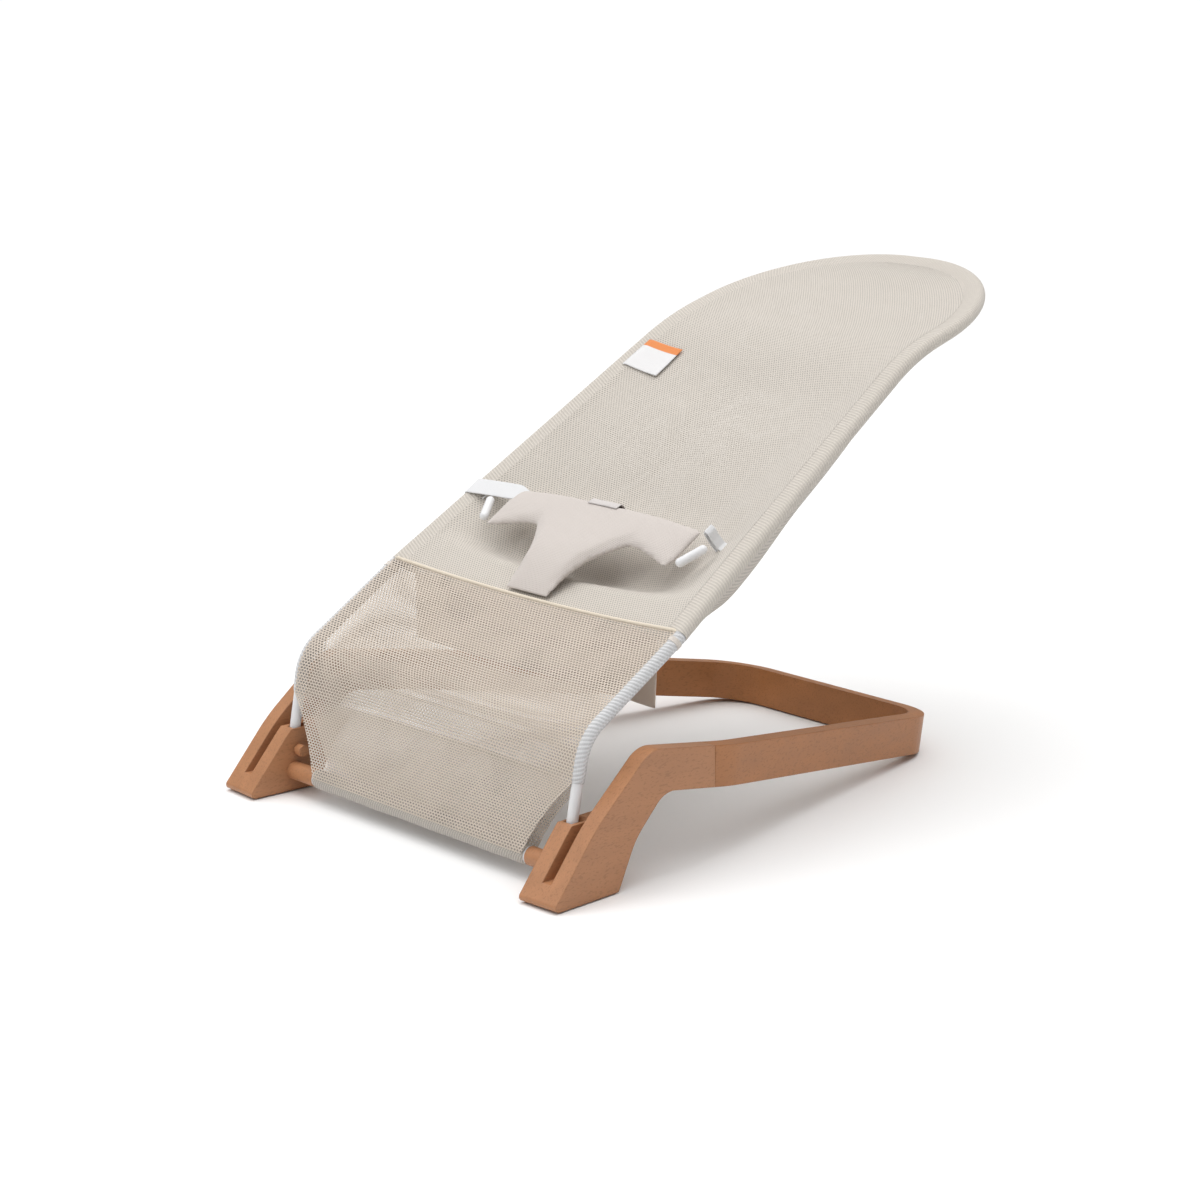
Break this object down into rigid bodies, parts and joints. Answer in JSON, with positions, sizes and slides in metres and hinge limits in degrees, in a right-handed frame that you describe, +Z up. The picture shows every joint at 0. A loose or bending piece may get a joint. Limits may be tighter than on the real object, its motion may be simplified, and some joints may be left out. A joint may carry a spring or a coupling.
{
  "type": "baby bouncer seat",
  "caption": "Baby bouncer seat with a bent beech base, a white steel seat hoop and a beige mesh sling with a waist harness.",
  "frame": {"origin": "floor level, midway between the front feet and the head end, on the centre line", "axes": "+X to the right seen from the front feet, +Y from the feet towards the head end, +Z up"},
  "size_m": [0.4596, 0.7024, 0.4595],
  "materials": {
    "beech": "clear satin lacquer",
    "pale_beech": "clear satin lacquer",
    "white_steel": "white powder coat",
    "plain_steel": "zinc plated",
    "mesh_cloth": "beige knitted mesh",
    "plain_cloth": "plain beige-grey weave",
    "binding": "cream cord binding",
    "white_webbing": "flat white webbing",
    "white_label": "white satin tape",
    "white_plastic": "moulded white",
    "rubber": "matte"
  },
  "bodies": {
    "base": {"left_leg": "beech", "right_leg": "beech", "rear_bow": "beech", "left_foot_pad": "rubber", "right_foot_pad": "rubber", "rear_pads": "rubber", "joint_screws": "plain_steel", "cross_shaft": "plain_steel", "crossbar": "white_steel", "left_boss": "pale_beech", "right_boss": "pale_beech"},
    "seat_lower": {"left_tube_eye": "plain_steel", "right_tube_eye": "plain_steel", "left_lower_tube": "white_steel", "right_lower_tube": "white_steel", "left_flex_joint": "plain_steel", "right_flex_joint": "plain_steel", "flex_collars": "rubber", "front_panel": "mesh_cloth", "hem_sleeve": "mesh_cloth", "seam_binding": "binding", "under_flap": "plain_cloth"},
    "seat_upper": {"seat_hoop": "white_steel", "sling": "mesh_cloth", "left_belt_loop": "white_webbing", "right_belt_loop": "white_webbing", "care_label": "white_label"},
    "left_clamp": {"left_clamp_knob": "pale_beech", "left_clamp_stud": "plain_steel"},
    "right_clamp": {"right_clamp_knob": "pale_beech", "right_clamp_stud": "plain_steel"},
    "harness": {"waist_pad": "mesh_cloth", "crotch_strap": "mesh_cloth", "left_toggle": "white_plastic", "right_toggle": "white_plastic", "belt_tag": "plain_cloth"}
  },
  "joints": [
    {"name": "seat_recline", "type": "hinge", "parent": "base", "child": "seat_lower", "pos_m": [0, -0.30327, 0.0205], "axis": [1, 0, 0], "range_deg": [-12, 0]},
    {"name": "seat_bounce", "type": "hinge", "parent": "seat_lower", "child": "seat_upper", "pos_m": [0, -0.17077, 0.1974], "axis": [1, 0, 0], "range_deg": [-6, 4], "stiffness_Nm_per_rad": 120, "springref_deg": 0.72},
    {"name": "left_clamp_turn", "type": "hinge", "parent": "base", "child": "left_clamp", "pos_m": [-0.178, -0.29957, 0.04015], "axis": [1, 0, 0], "range_deg": [0, 180]},
    {"name": "right_clamp_turn", "type": "hinge", "parent": "base", "child": "right_clamp", "pos_m": [0.178, -0.29957, 0.04015], "axis": [1, 0, 0], "range_deg": [0, 180]},
    {"name": "harness_fold", "type": "hinge", "parent": "seat_upper", "child": "harness", "pos_m": [0, -0.17077, 0.1974], "axis": [1, 0, 0], "range_deg": [0, 100]}
  ]
}
